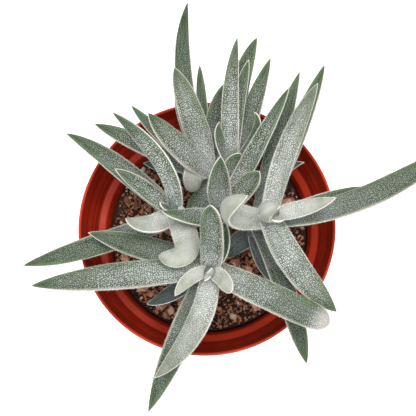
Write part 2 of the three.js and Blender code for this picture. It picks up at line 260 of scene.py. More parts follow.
def turned(line, sides):
    """A profile turned about the upright axis. Its two ends lie on the axis."""
    inner = line[line[:, 0] > 0]
    angles = np.arange(sides) / sides * 2 * math.pi
    points = [(r * math.cos(a), r * math.sin(a), z) for r, z in inner for a in angles]
    points += [(0, 0, line[0][1]), (0, 0, line[-1][1])]
    faces = rings_to_faces(len(inner), sides)
    return np.array(points), [face[::-1] for face in faces]


# %% Cut a slot
def slot_box(index):
    """The box to cut away for one slot: its points and faces."""
    turn = index / SLOTS * 2 * math.pi
    points = []
    for along, across, up in [(x, y, z) for z in (-1, 1) for y in (-1, 1) for x in (-1, 1)]:
        x, y, z = SLOT_RADIUS + along * SLOT_SIZE[0] / 2, across * SLOT_SIZE[1] / 2, up * SLOT_SIZE[2] / 2
        points.append((x * math.cos(turn) - y * math.sin(turn), x * math.sin(turn) + y * math.cos(turn), z))
    return points, [(0, 2, 3, 1), (4, 5, 7, 6), (0, 1, 5, 4), (2, 6, 7, 3), (0, 4, 6, 2), (1, 3, 7, 5)]


def cut_away(piece, points, faces):
    cutter = make_piece("slot cutter", points, faces, piece.data.materials[0])
    cut = piece.modifiers.new("slot", "BOOLEAN")
    cut.object, cut.operation, cut.solver = cutter, "DIFFERENCE", "EXACT"
    shape = bpy.data.meshes.new_from_object(piece.evaluated_get(bpy.context.evaluated_depsgraph_get()))
    piece.modifiers.clear()
    piece.data = shape
    bpy.data.objects.remove(cutter)


# %% [markdown]
# The plastic is coloured through and a little glossy, with faint rings from the turned mould, tiny
# pits and three thin dark lines round the collar. Light and shade are painted on as well: the collar
# is drawn darker towards the top as painted shade, a dark seam of painted shade runs round the ledge,
# and the ledge and the lip are drawn lighter as painted highlights. Soil has left dust low down
# inside, and much less of it outside. So the colour follows the height and the radius of the spot.

# %% Pot plastic
MOULD_LINES = (62.3, 63.9, 66.8)


def pot_plastic():
    finish = Finish("moulded terracotta plastic")
    split = finish.add("ShaderNodeSeparateXYZ", None, {"Vector": finish.place}, out="X")
    x, y, z = (Wire(finish, split.socket.node.outputs[axis]) for axis in "XYZ")
    radius = ((x * x + y * y) ** 0.5) * 1000
    height = z * 1000
    # Where the lip and the ledge are, for their painted highlights.
    lip_highlight = finish.ramp(radius, 41.4, 41.9) * finish.ramp(height, 69.1, 69.6)
    ledge_highlight = finish.ramp(radius, 34.2, 34.8) * finish.ramp(radius, 37.4, 36.6)
    blots = finish.cloud(9, 3)
    streaks = finish.cloud(5, 3, (1, 1, 0.15))
    body = finish.blend(finish.ramp(blots, 0.3, 0.7), colour(136, 28, 9), colour(154, 36, 13))
    # Painted shade: the collar drawn darker towards its top.
    body = finish.blend(finish.ramp(height, 64, 69.4) * 0.6, body, colour(98, 16, 6))
    lines = sum(finish.ramp(abs(height - level), 0.4, 0.12) for level in MOULD_LINES)
    # Painted highlight: the ledge, which faces up, drawn lighter.
    body = finish.blend(ledge_highlight * 0.34, body, colour(178, 50, 20))
    # Painted shade: a dark seam in the corner where the ledge meets the collar.
    seam_shade = finish.ramp(abs(radius - 37.1), 0.45, 0.15) * finish.ramp(height, 60, 60.6)
    body = finish.blend((lines * 0.6 + seam_shade * 0.55).clamped(), body, colour(70, 10, 5))
    # Painted highlight: the lip, which faces up, drawn lighter.
    body = finish.blend(lip_highlight * 0.85, body, colour(186, 54, 22))
    outside = finish.ramp(radius - height * 0.1, 27.8, 28.1)
    specks = finish.ramp(finish.cloud(2.2, 4), 0.42, 0.62)
    dust = finish.ramp(height, 61.5, 56.5) * specks * (1 - outside * 0.75)
    body = finish.blend(dust * 0.55, body, colour(112, 62, 44))
    rings = finish.add("ShaderNodeMath", {"operation": "SINE"}, {0: height * 14 + radius * 9})
    relief = rings * 0.12 + finish.cloud(0.7, 2) * 0.2 + streaks * 0.15 - lines * 0.6
    return finish.done({
        "Base Color": body,
        "Roughness": (0.38 + finish.ramp(streaks, 0.35, 0.7) * 0.16 + dust * 0.3).clamped(),
        "Normal": finish.bump(relief, 0.06, 0.6),
        "Specular IOR Level": 0.22,
    })


# %% Place the pot
pot_points, pot_faces = turned(pot_line, POT_SIDES)
pot = make_piece("nursery_pot", pot_points, pot_faces, pot_plastic())
for slot_index in range(SLOTS):
    cut_away(pot, *slot_box(slot_index))
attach(pot, "root")
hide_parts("pot")

# %% [markdown]
# ## The six stems and their leaves
# The leaves stand in pairs, each pair at right angles to the one below it. A leaf is given by the
# height of its root on the stem, a place halfway along its midrib, its tip and its width, in
# millimetres, all the same as in the solid model. Then comes its age, which steers only its finish
# and its hairs: near 0 for the whitish young leaves in the middle and 1 for the dark ones low down.
# What is out of the usual for a leaf follows by name. One leaf has a pale end instead of a green tip.

# %% Stem data
STEMS = {
    "leafy_stem_front": {
        "foot": (1.5, -13),
        "tip": (3, -21, 105),
        "leaves": [
            (76, (-10, -23, 79), (-19, -26.5, 76), 5.6, 1.0),
            (80, (-17, -10.5, 87), (-37, -5, 88), 8.2, 0.8),
            (88, (-7.5, -40.5, 92), (-17.5, -62.5, 86), 7.8, 0.7),
            (88, (6.5, -12.5, 94), (8, -5, 98), 4.5, 0.8),
            (96, (-25.5, -21, 99), (-54.5, -23, 93), 8.4, 0.5),
            (96, (22, -28.5, 101), (39.5, -38, 107), 8.6, 0.5, {"point": 10, "end": 0.6, "pale_end": True}),
            (100, (4, -12.5, 111), (4, -3.5, 121), 7.4, 0.35, {"point": 5, "end": 0.75}),
            (100, (-1.5, -38, 103), (-14.5, -53, 98), 7.2, 0.22),
            (101, (-3, -23.5, 107), (-7.5, -29, 108), 4.2, 0.1, {"point": 3, "end": 0.8}),
            (101, (7.2, -24, 107), (9.5, -28.6, 110), 4.8, 0.1, {"point": 4, "end": 0.6}),
            (104, (3.5, -21.5, 107.5), (4, -20.5, 109), 2.6, 0.1, {"thick": 0.8, "end": 0.6}),
            (104, (2.5, -23, 107.5), (1.5, -24.5, 108.5), 2, 0.1, {"thick": 0.8, "end": 0.6}),
        ],
    },
    "leafy_stem_right": {
        "foot": (14, -4),
        "tip": (23, -4.3, 112),
        "leaves": [
            (71, (22.5, 13.5, 76), (32.5, 20, 76), 4.4, 1.0, {"point": 3}),
            (72, (10.5, -7, 77), (7.5, -11, 74), 6.6, 1.0),
            (80, (30.5, 28, 88), (39.5, 50, 88), 6.8, 0.8, {"point": 2.6}),
            (80, (17.5, -10, 80), (21, -19, 74), 5, 1.0),
            (89, (24, 23, 92), (31.5, 47, 91), 6.3, 0.7),
            (89, (26, -24.5, 91), (32.5, -47, 82), 6.4, 0.75, {"point": 3.5}),
            (97, (37, 2, 99), (50.5, 7.5, 95), 4.6, 0.7),
            (103, (50, 1, 107), (80, 20, 97), 7.2, 0.85, {"point": 3}),
            (103, (9.5, -5, 117), (15.5, -1.5, 125), 8, 0.05, {"point": 3}),
            (106, (30, -20.5, 107), (42, -33, 99), 8.6, 0.3),
            (106, (27, 15.5, 111), (37, 39, 104), 6.6, 0.26),
            (109, (33, -3.3, 115.5), (42, -1, 118), 5.2, 0.15),
            (109, (21, -4.6, 117), (24.5, -3.2, 119.5), 5.4, 0.1, {"point": 4, "thick": 0.7}),
            (111, (23.5, -6.6, 114), (26, -7, 114.5), 2.6, 0.1, {"thick": 0.6, "end": 0.7}),
            (111, (23.4, -4.3, 114), (25, -3, 115.5), 1.8, 0.1, {"thick": 0.6}),
        ],
    },
    "leafy_stem_left": {
        "foot": (-8, 0),
        "tip": (-9.3, 1.5, 95),
        "leaves": [
            (84, (-35.5, -8, 82), (-60, -13.5, 76), 7.2, 0.8),
            (84, (-29, 18.5, 85), (-45.5, 29, 84), 6.8, 0.75),
            (88, (-19.3, 9, 91), (-28, 14.5, 94), 5.4, 0.4),
            (91, (-12.3, 14, 104), (-28.5, 31.5, 101), 6, 0.35, {"point": 2.1}),
            (90, (-16.5, -4, 96), (-24, -2.5, 98), 6.6, 0.15, {"point": 3}),
            (93, (-4.5, -13.5, 101.5), (-13, -15.5, 103), 7.8, 0.1, {"point": 4, "end": 0.7, "twist": -50}),
            (93, (-12, 1.5, 97), (-13, 2.5, 98.5), 2.2, 0.3, {"thick": 0.8}),
        ],
    },
    "leafy_stem_middle": {
        "foot": (4, -1),
        "tip": (6.5, 1, 98),
        "leaves": [
            (86, (8, 11.5, 91), (12.3, 18.6, 96), 6.2, 0.5, {"point": 5}),
            (88, (19.2, 21.8, 103), (28, 39, 100), 5.7, 0.4, {"point": 1.9}),
            (93, (13.6, 6.6, 99), (18.5, 11, 103), 6.8, 0.35, {"point": 4}),
            (86, (-3.3, -2.8, 101), (-12, -1.5, 103.5), 6.6, 0.45),
            (95, (6, 6, 108), (7, 12.5, 118), 7.2, 0.45),
        ],
    },
    "leafy_stem_back": {
        "foot": (9, 15),
        "tip": (9, 17, 85),
        "leaves": [
            (76, (11, 39, 86), (17.5, 60, 86), 6.2, 0.8, {"point": 3.5}),
            (80, (15.8, 35.5, 88), (22, 52.5, 88), 6.3, 0.7, {"point": 2}),
            (83, (11.3, 33.5, 94), (15, 50, 94), 4.4, 0.5, {"point": 3.5}),
            (85, (9.3, 35.5, 101), (11.5, 56.5, 98), 5.4, 0.3, {"point": 2}),
            (84, (16.8, 25.6, 93), (16.7, 32, 96), 3.2, 0.4, {"point": 4, "end": 0.8}),
            (84, (5.6, 23.5, 95), (5.9, 27.4, 102), 3.5, 0.3, {"point": 3}),
        ],
    },
    "leafy_stem_back_left": {
        "foot": (1, 14),
        "tip": (2, 15.5, 86),
        "leaves": [
            (79, (0.5, 9.7, 79), (-6.5, 1.5, 77), 6.6, 0.7, {"point": 3}),
            (72, (-10, 17.8, 77), (-20.5, 20.5, 76), 5.4, 1.0),
            (78, (-6, 43.5, 90), (-5.5, 74, 82), 5.8, 0.95),
            (78, (-0.5, 35, 84), (-1.5, 52, 83), 3.8, 0.8, {"point": 3.5}),
            (79, (-12.5, 26, 86), (-24, 38, 85), 5, 0.8),
            (78, (-17, 23.3, 84), (-36, 32, 84), 6.2, 0.6, {"point": 3}),
            (81, (3.4, 32.5, 87), (7.3, 44.3, 88), 5.8, 0.6),
            (81, (-6, 31, 91), (-8.6, 41, 92), 4.2, 0.5),
            (84, (-3, 30.3, 98), (-8.5, 45.5, 102), 8, 0.3, {"base": 0.45, "point": 3}),
            (86, (-7.2, 20.7, 98), (-17, 31.5, 99), 8.2, 0.4),
            (84, (-3, 13.8, 90), (-2.3, 8.8, 86), 6.6, 0.15,
             {"base": 0.5, "point": 5, "end": 0.6, "thick": 0.65}),
        ],
    },
}
print("leaves:", sum(len(stem["leaves"]) for stem in STEMS.values()))

# %% [markdown]
# ## The form of one leaf
# Each midrib is a simple curve through three points. Along it the leaf carries three arrows: forward
# to the tip, sideways and upward. Any spot of its skin is then the midrib plus so much sideways and
# so much upward, and the same sum gives the places where hairs grow, so that they sit on the skin.

# %% Line of a stem
STEM_FOOT_HEIGHT, STEM_UPRIGHT_TO, STEM_LEAN_POWER = 44, 62, 1.6
STEM_FOOT_RADIUS, STEM_TIP_RADIUS = 2.3, 1.7
# How wide a leaf is at its root (base), how late its margins close in (point), how sharply they meet
# (end), how thick it is for its width (thick) and how many degrees it turns (twist)
LEAF_USUAL = {"base": 0.72, "point": 2.3, "end": 0.85, "thick": 0.46, "twist": 0, "pale_end": False}
MIDRIB_STEPS, CURVE_SAMPLES = 120, 401


def unit(vectors):
    return vectors / np.linalg.norm(vectors, axis=-1, keepdims=True)


def stem_share(stem, height):
    return max(0.0, (height - STEM_UPRIGHT_TO) / (stem["tip"][2] - STEM_UPRIGHT_TO))


def stem_middle(stem, height):
    foot, tip = np.array(stem["foot"], float), np.array(stem["tip"][:2], float)
    x, y = foot + (tip - foot) * stem_share(stem, height) ** STEM_LEAN_POWER
    return np.array([x, y, height])


# %% Midrib of a leaf
def midrib(stem, leaf):
    """Places and the forward, sideways and upward arrows at even steps along a leaf."""
    start, end = stem_middle(stem, leaf["root"]), np.array(leaf["tip"], float)
    pull = 2 * np.array(leaf["mid"], float) - (start + end) / 2
    t = np.linspace(0, 1, CURVE_SAMPLES)[:, None]
    line = (1 - t) ** 2 * start + 2 * (1 - t) * t * pull + t**2 * end
    run = np.concatenate([[0], np.cumsum(np.linalg.norm(np.diff(line, axis=0), axis=1))])
    along = np.linspace(0, 1, MIDRIB_STEPS + 1)
    t = np.interp(along * run[-1], run, t[:, 0])[:, None]
    places = (1 - t) ** 2 * start + 2 * (1 - t) * t * pull + t**2 * end
    forward = unit(2 * (1 - t) * (pull - start) + 2 * t * (end - pull))
    across = unit(np.cross([0, 0, 1], forward[0]))
    sideways = []
    for arrow in forward:
        across = unit(across - arrow * across.dot(arrow))
        sideways.append(across)
    sideways = np.array(sideways)
    turn = np.radians(leaf["twist"]) * along[:, None] ** 2
    sideways = sideways * np.cos(turn) + np.cross(forward, sideways) * np.sin(turn)
    upward = np.cross(forward, sideways)
    return {"length": run[-1], "places": places, "forward": forward, "sideways": sideways, "upward": upward}


# %% [markdown]
# A leaf is widest before its middle and runs out in a point that can be sharp or blunt. In section
# it is a flat lens, nearly flat above and rounder below. Real leaves aren't quite even: a few slow
# waves, different for each leaf, let the light wander over them.

# %% Outline of a leaf
UPPER_SHARE, WIDEST_AT = 0.32, 0.4
LEAF_WAVES = [(0.045, 0.5, 1), (0.035, 1.1, 2), (0.02, 2.3, 3)]  # size, rate along and turns round


def outline(along, leaf):
    """How wide a leaf is there, as a share of its greatest width."""
    rise = leaf["base"] + (1 - leaf["base"]) * np.sin(np.minimum(along / WIDEST_AT, 1) * math.pi / 2)
    fall = (1 - np.clip((along - WIDEST_AT) / (1 - WIDEST_AT), 0, 1) ** leaf["point"]) ** leaf["end"]
    return np.where(along < WIDEST_AT, rise, np.maximum(fall, 0.02))


for place in (0.1, 0.4, 0.8):
    print(f"width of a usual leaf at {place} of its length: {outline(place, LEAF_USUAL):.2f}")


# %% The skin of a leaf
def read(rows, along):
    """What the rows of a midrib say at any share of its length."""
    steps = np.linspace(0, 1, MIDRIB_STEPS + 1)
    return np.stack([np.interp(along, steps, rows[:, axis]) for axis in range(3)], axis=-1)


def skin(leaf, along, angle):
    """Places on a leaf's skin, and which way it faces. The margins are at the angles 0 and pi."""
    rib = leaf["rib"]
    sideways, upward = read(rib["sideways"], along), read(rib["upward"], along)
    share = outline(along, leaf)
    half = leaf["width"] * share / 2
    lift, reach = np.sin(angle), np.cos(angle)
    deep = leaf["width"] * leaf["thick"] * share**0.8 * np.where(lift > 0, UPPER_SHARE, 1 - UPPER_SHARE)
    wave = sum(
        size * np.sin(along * leaf["width"] * rate + angle * turns + phase)
        for size, rate, turns, phase in leaf["waves"]
    )
    half, deep = half * (1 + wave * 0.5), deep * (1 + wave)
    places = read(rib["places"], along) + sideways * (reach * half)[:, None] + upward * (lift * deep)[:, None]
    facing = unit(sideways * (reach * deep)[:, None] + upward * (lift * half)[:, None] + 1e-9)
    return places, facing


def leaf_from(row, stem, random):
    """A row of the stem data with its midrib, its own waves and tint, and the margin that is greener."""
    leaf = dict(LEAF_USUAL, root=row[0], mid=row[1], tip=row[2], width=row[3], age=row[4])
    leaf.update(row[5] if len(row) > 5 else {})
    leaf["rib"] = midrib(stem, leaf)
    leaf["waves"] = [(size, rate, turns, random.uniform(0, 6.3)) for size, rate, turns in LEAF_WAVES]
    leaf["tint"], leaf["greener"] = random.uniform(0, 1), random.choice([-1, 1])
    return leaf


# %% [markdown]
# The mesh of a leaf takes 44 rings of 28 points from that skin, closer together towards the tip,
# where the outline bends fastest. It carries marks for its finish: how far along a spot is, how many
# millimetres of skin lie between it and the nearer margin, which margin it leans to, the leaf's age,
# a tint of its own, and how woolly a pale end is. Two more marks lay the skin out flat in
# millimetres, so that its fibres can run lengthwise.

# %% Marks of a leaf
LEAF_RINGS, LEAF_AROUND = 44, 28
STEM_RINGS, STEM_AROUND = 30, 24


def around_skin(rings):
    """Distances along each ring in millimetres: from its first point, and from the nearer margin."""
    closed = np.concatenate([rings, rings[:, :1]], axis=1)
    steps = np.linalg.norm(np.diff(closed, axis=1), axis=2)
    run = np.cumsum(steps, axis=1) - steps
    whole = steps.sum(axis=1, keepdims=True)
    margins = run[:, [LEAF_AROUND // 4, 3 * LEAF_AROUND // 4]]
    gaps = np.abs(run[:, :, None] - margins[:, None, :]).min(axis=2)
    return np.where(run < whole / 2, run, run - whole), gaps


def weathering(leaf, along):
    """0 where a leaf is woolly and pale, as at its root, and up to 1 at a dark tip."""
    return np.minimum(along, 4 * (1 - along)) if leaf["pale_end"] else along


# %% Mesh of a leaf
def leaf_part(leaf):
    shares = 1 - (1 - np.linspace(0, 1, LEAF_RINGS)) ** 1.5
    along = np.repeat(shares, LEAF_AROUND)
    angle = np.tile(math.pi / 2 + np.arange(LEAF_AROUND) / LEAF_AROUND * 2 * math.pi, LEAF_RINGS)
    places, _ = skin(leaf, along, angle)
    rings = places.reshape(LEAF_RINGS, LEAF_AROUND, 3)
    run, rim = around_skin(rings)
    green_side = np.cos(angle) * leaf["greener"]
    ends = [rings[0].mean(axis=0), rings[-1].mean(axis=0)]
    marks = {
        "along": weathering(leaf, np.append(along, [0, 1])),
        "rim": np.append(rim.ravel(), [1, 0]),
        "side": np.append(green_side, [0, 0]),
        "age": np.full(len(along) + 2, leaf["age"]),
        "tint": np.full(len(along) + 2, leaf["tint"]),
        "wool": np.clip(np.append(along, [0, 1]) * 10 - 8.6, 0, 1) * leaf["pale_end"],
        "skin_along": np.append(along, [0, 1]) * leaf["rib"]["length"] + leaf["tint"] * 400,
        "skin_round": np.append(run.ravel(), [0, 0]),
    }
    return np.concatenate([places, ends]), rings_to_faces(LEAF_RINGS, LEAF_AROUND), marks


# %% Mesh of a stem
def stem_part(stem):
    heights = np.linspace(STEM_FOOT_HEIGHT, stem["tip"][2], STEM_RINGS - 1)
    middles = [stem_middle(stem, height) for height in heights]
    shares = [stem_share(stem, height) for height in heights]
    radii = [STEM_FOOT_RADIUS + (STEM_TIP_RADIUS - STEM_FOOT_RADIUS) * share for share in shares]
    middles.append(middles[-1] + np.array([0, 0, STEM_TIP_RADIUS / 2]))
    radii.append(STEM_TIP_RADIUS / 2)
    angles = np.arange(STEM_AROUND) / STEM_AROUND * 2 * math.pi
    rings = [
        [middle + (r * math.cos(a), r * math.sin(a), 0) for a in angles] for middle, r in zip(middles, radii)
    ]
    points = np.concatenate([np.concatenate(rings), [middles[0], middles[-1]]])
    even = np.ones(len(points))
    marks = {"along": even * 0.1, "rim": even * 2, "side": even * 0, "age": even * 0.8, "tint": even * 0.5}
    marks["wool"] = even * 0
    marks["skin_along"] = points[:, 2]
    marks["skin_round"] = np.append(np.tile(np.arange(STEM_AROUND) * 0.5, STEM_RINGS), [0, 0])
    return points, rings_to_faces(STEM_RINGS, STEM_AROUND), marks


# %% [markdown]
# ## Leaf tissue
# The skin is green and slightly waxy, and a coat of white hairs makes the leaf look silver. The hairs
# are pieces of their own, so this finish gives only the skin between them: whitish at the root,
# greener towards the tip, blue-grey on the oldest leaves, pale and blotched on the young ones. One
# margin has a green band beside it and the other a faint blush. Right at the margin fine hairs crowd
# into a cream line. Broad soft patches, where the coat is thicker, are a little paler, and the middle
# of a younger leaf is drawn paler as a painted highlight.

# %% Leaf finish
COAT_PATCH = 7


def leaf_tissue():
    finish = Finish("hairy leaf tissue")
    along, rim, side, age, tint = (finish.mark(name) for name in ("along", "rim", "side", "age", "tint"))
    spread = {"X": finish.mark("skin_along"), "Y": finish.mark("skin_round")}
    flat = finish.add("ShaderNodeCombineXYZ", None, spread)
    drawn = finish.add("ShaderNodeVectorMath", {"operation": "MULTIPLY"}, {0: flat, 1: (0.16, 1.6, 1)})
    in_plane = {"noise_dimensions": "2D"}
    fibres = finish.add("ShaderNodeTexNoise", in_plane, {"Vector": drawn, "Scale": 1.0, "Detail": 3})
    grain = finish.add("ShaderNodeTexNoise", in_plane, {"Vector": flat, "Scale": 1.7, "Detail": 2})
    blots = finish.cloud(4, 3)
    tip = finish.ramp(along, 0.3, 1.0)
    foot = finish.ramp(along, 0.6, 0.05)
    young = finish.ramp(age, 0.34, 0.1)
    green = finish.blend(tint, colour(42, 58, 34), colour(54, 64, 48))
    green = finish.blend(age * 0.4, green, colour(34, 50, 44))
    green = finish.blend(foot * (0.34 - age * 0.2), green, colour(132, 137, 132))
    green = finish.blend(tip * 0.7, green, colour(42, 62, 30))
    green = finish.blend(finish.ramp(age, 0.96, 1.0) * 0.75, green, colour(60, 70, 74))
    fresh = finish.blend(finish.ramp(blots, 0.4, 0.68) * 0.6, colour(192, 190, 182), colour(128, 132, 112))
    green = finish.blend(young * 0.7, green, fresh)
    band = (finish.ramp(side, 0.3, 0.85) + finish.ramp(rim, 1.6, 0.7) * 0.5).clamped() * (0.22 + tip * 0.45)
    band_colour = finish.blend(young, colour(86, 110, 64), colour(144, 150, 116))
    green = finish.blend(band * (1 - young * 0.5) * finish.ramp(age, 1.0, 0.8), green, band_colour)
    blush = finish.ramp(side, -0.78, -0.97) * (0.45 - young * 0.3) * finish.ramp(age, 1.0, 0.9)
    green = finish.blend(blush, green, colour(220, 202, 190))
    thick = finish.ramp(finish.cloud(COAT_PATCH, 2), 0.4, 0.58) * (1 - tip) * (0.08 - age * 0.06)
    # Painted highlight: the middle of a younger leaf, away from its margins, drawn paler.
    inner = finish.ramp(rim, 1.4, 3.0) * (0.14 - age * 0.14)
    down_and_highlight = finish.ramp(fibres, 0.7, 0.35) * (0.06 + foot * 0.1) + inner + thick
    skin_colour = finish.blend(down_and_highlight, green, colour(204, 208, 206))
    skin_colour = finish.blend(finish.mark("wool") * 0.6, skin_colour, colour(190, 181, 172))
    margin = finish.ramp(rim, 0.42, 0.12) * (1.0 - tip * 0.25)
    skin_colour = finish.blend(margin, skin_colour, colour(250, 243, 237))
    return finish.done({
        "Base Color": skin_colour,
        "Roughness": (0.66 - tip * 0.1 + fibres * 0.14).clamped(),
        "Normal": finish.bump(grain, 0.2, 0.8),
        "Sheen Weight": 0.1,
        "Sheen Roughness": 0.4,
        "Specular IOR Level": 0.35,
    })


# %% [markdown]
# ## The hairs
# What makes the plant look soft is its coat of short, stiff white hairs, clearest against the
# background along every margin. Blender's own hair would not leave it as a mesh, so each hair is a
# stout four-sided spike whose open foot sinks into the skin. They stand in rows across the leaf, each
# moved a little with a fixed seed: rows alone look printed, and places drawn freely leave bald spots.
# Real hairs are finer and closer, but at the size of the photograph those would blur to an even grey.
# Finer spikes stand along both margins, where they point outward.

# %% Where hairs stand
HAIR_SPACING, MARGIN_SPACING = 0.63, 0.3
HAIR_LENGTH, MARGIN_LENGTH = (0.3, 0.5), (0.35, 0.62)
HAIR_FOOT, MARGIN_FOOT, HAIR_SINK = 0.26, 0.09, 0.04
HAIR_SHIFT = 0.32
HAIR_SIDES = 4


def rows_of_hairs(leaf, random):
    """Where hairs stand on a leaf: rows from root to tip, as far apart as the hairs in a row."""
    turn = np.linspace(0, 2 * math.pi, 61)
    found = []
    rows = int(leaf["rib"]["length"] / HAIR_SPACING)
    for row in range(1, rows):
        along = (row + random.uniform(-0.1, 0.1)) / rows
        ring, _ = skin(leaf, np.full(len(turn), along), turn)
        run = np.concatenate([[0], np.cumsum(np.linalg.norm(np.diff(ring, axis=0), axis=1))])
        count = max(3, round(run[-1] / HAIR_SPACING))
        shift = random.uniform(-HAIR_SHIFT, HAIR_SHIFT, count)
        spots = (np.arange(count) + row % 2 / 2 + shift) / count * run[-1]
        angles = np.interp(spots % run[-1], run, turn)
        jitter = random.uniform(-HAIR_SHIFT, HAIR_SHIFT, count) / rows
        found += list(zip(np.clip(along + jitter, 0.02, 0.995), angles))
    return np.array(found)


def margin_hairs(leaf, random):
    """Where the finer hairs stand along both margins of a leaf."""
    count = int(leaf["rib"]["length"] / MARGIN_SPACING)
    along = (np.arange(count) + random.uniform(0, 0.8, count)) / count
    sides = [np.stack([along, middle + random.normal(0, 0.13, count)], axis=1) for middle in (0, math.pi)]
    return np.concatenate(sides)


# %% Grow hairs on a leaf
def grow_hairs(leaf, random):
    """The points of each hair of a leaf, round its foot and then its tip, with two marks for each."""
    on_faces, on_margins = rows_of_hairs(leaf, random), margin_hairs(leaf, random)
    along, angle = np.concatenate([on_faces, on_margins]).T
    count, edge = len(along), np.arange(len(along)) >= len(on_faces)
    slim = np.clip(leaf["width"] * outline(along, leaf) / 5, 0.5, 1)
    length = np.where(edge, random.uniform(*MARGIN_LENGTH, count), random.uniform(*HAIR_LENGTH, count)) * slim
    stout = (1 - 0.25 * leaf["age"]) * (1 - 0.14 * along) * random.uniform(0.72, 1.15, count)
    stout *= (0.8 + 0.2 * min(leaf["age"] / 0.3, 1)) * np.clip(np.abs(np.sin(angle)) * 2.5, 0.4, 1)
    stout *= 1 - 0.3 * np.clip((np.cos(angle) * leaf["greener"] - 0.3) / 0.5, 0, 1) * (0.4 + 0.6 * along)
    foot_radius = np.where(edge, MARGIN_FOOT, HAIR_FOOT * stout) * slim
    places, facing = skin(leaf, along, angle)
    forward = read(leaf["rib"]["forward"], along)
    lean = forward * np.where(edge, 0.45, 0.6)[:, None]
    points_to = unit(facing + lean + random.normal(0, 0.15, facing.shape))
    first = unit(np.cross(facing, forward + random.normal(0, 0.5, forward.shape)))
    second = np.cross(facing, first)
    foot = places - facing * HAIR_SINK
    turns = np.arange(HAIR_SIDES) / HAIR_SIDES * 2 * math.pi
    round_foot = [first * math.cos(turn) + second * math.sin(turn) for turn in turns]
    corners = [foot + outward * foot_radius[:, None] for outward in round_foot]
    corners.append(foot + points_to * length[:, None])
    return np.stack(corners, axis=1), weathering(leaf, along), np.full(count, leaf["age"])


# %% [markdown]
# A hair is a hollow cell full of air and looks white. It is duller and greener towards the tip of its
# leaf and on old leaves, and greyer in broad patches where the coat is thin. At its foot it is drawn
# darker and greener as painted shade where it meets the skin. The hairs of one stem are one piece.
# Each hair gets its own small square in a map of the piece, so that the finish can be stored as a
# picture when the model leaves Blender.

# %% Hair finish
def hair_finish():
    finish = Finish("white leaf hairs")
    tone = finish.ramp(finish.cloud(1.3, 2), 0.3, 0.7)
    old, tip = finish.mark("age"), finish.ramp(finish.mark("along"), 0.35, 1.0)
    thin = finish.ramp(finish.cloud(COAT_PATCH, 2), 0.58, 0.4)
    body = finish.blend(tone, colour(224, 223, 217), colour(246, 245, 240))
    body = finish.blend(thin * 0.5, body, colour(150, 158, 142))
    body = finish.blend((old * old * 1.1).clamped(), body, colour(124, 136, 110))
    body = finish.blend(tip * 0.78, body, colour(110, 124, 94))
    # Painted shade: each hair drawn darker and greener at its foot, where it meets the skin.
    body = finish.blend(finish.ramp(finish.mark("foot"), 0.2, 1.0) * 0.4, body, colour(138, 146, 128))
    return finish.done({"Base Color": body, "Roughness": 0.6 + tone * 0.15, "Specular IOR Level": 0.3})


# %% Hair piece and its map
def hair_map(mesh, count):
    """A square for each hair: its foot goes round the square and its tip lies in the middle."""
    squares = math.ceil(math.sqrt(count))
    index = np.arange(count)
    corner = np.stack([index % squares, index // squares], axis=-1)[:, None, None, :]
    turns = (np.arange(HAIR_SIDES + 1) / HAIR_SIDES + 0.125) * 2 * math.pi
    ring = 0.5 + 0.45 * np.stack([np.cos(turns), np.sin(turns)], axis=-1)
    fan = np.array([(ring[side], ring[side + 1], (0.5, 0.5)) for side in range(HAIR_SIDES)])
    places = (corner + fan[None]) / squares
    mesh.uv_layers.new(name="OFBake").uv.foreach_set("vector", places.astype(np.float32).ravel())


def hair_piece(name, groups, material):
    """All the hairs of one stem as one piece."""
    corners = np.concatenate([group[0] for group in groups])
    count = len(corners)
    start = (np.arange(count) * (HAIR_SIDES + 1))[:, None, None]
    fan = np.array([(side, (side + 1) % HAIR_SIDES, HAIR_SIDES) for side in range(HAIR_SIDES)])
    marks = {
        "along": np.repeat(np.concatenate([group[1] for group in groups]), HAIR_SIDES + 1),
        "age": np.repeat(np.concatenate([group[2] for group in groups]), HAIR_SIDES + 1),
        "foot": np.tile([1.0] * HAIR_SIDES + [0.0], count),
    }
    faces = (start + fan[None]).reshape(-1, 3).tolist()
    piece = make_piece(name, corners.reshape(-1, 3), faces, material, marks)
    hair_map(piece.data, count)
    print(f"{name}: {count} hairs")
    return piece


# %% Place stems, leaves and hairs
LEAF_SEED = 11
leaf_material, hair_material = leaf_tissue(), hair_finish()
leaf_seed = np.random.default_rng(LEAF_SEED)
print("nodes in the leaf finish:", len(leaf_material.node_tree.nodes))
for stem_name, stem in STEMS.items():
    leaves = [leaf_from(row, stem, leaf_seed) for row in stem["leaves"]]
    side = stem_name.removeprefix("leafy_stem_")
    leafy_parts = [stem_part(stem)] + [leaf_part(leaf) for leaf in leaves]
    tissue_points, tissue_faces, tissue_marks = join_parts(leafy_parts)
    tissue = make_piece(f"leaves_{side}", tissue_points, tissue_faces, leaf_material, tissue_marks)
    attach(tissue, "root")
    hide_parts(stem_name)
    hairs = hair_piece(f"hairs_{side}", [grow_hairs(leaf, leaf_seed) for leaf in leaves], hair_material)
    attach(hairs, "root")

# %% [markdown]
# ## The soil
# The mix is coco fibre crumbs, fine grit and a few stones of pale pumice. Seen this close it is made
# of single grains, so a rough bed is laid first and then covered with crumbs of many sizes. Each
# crumb is a small ball dented by noise, turned and flattened at random, and a fibre is one drawn out
# long and thin. The ten pumice stones lie at the same places as in the solid model. Bed, stones and
# coarse crumbs are one piece, and small crumbs and fibres a second one, so that neither gets too big.

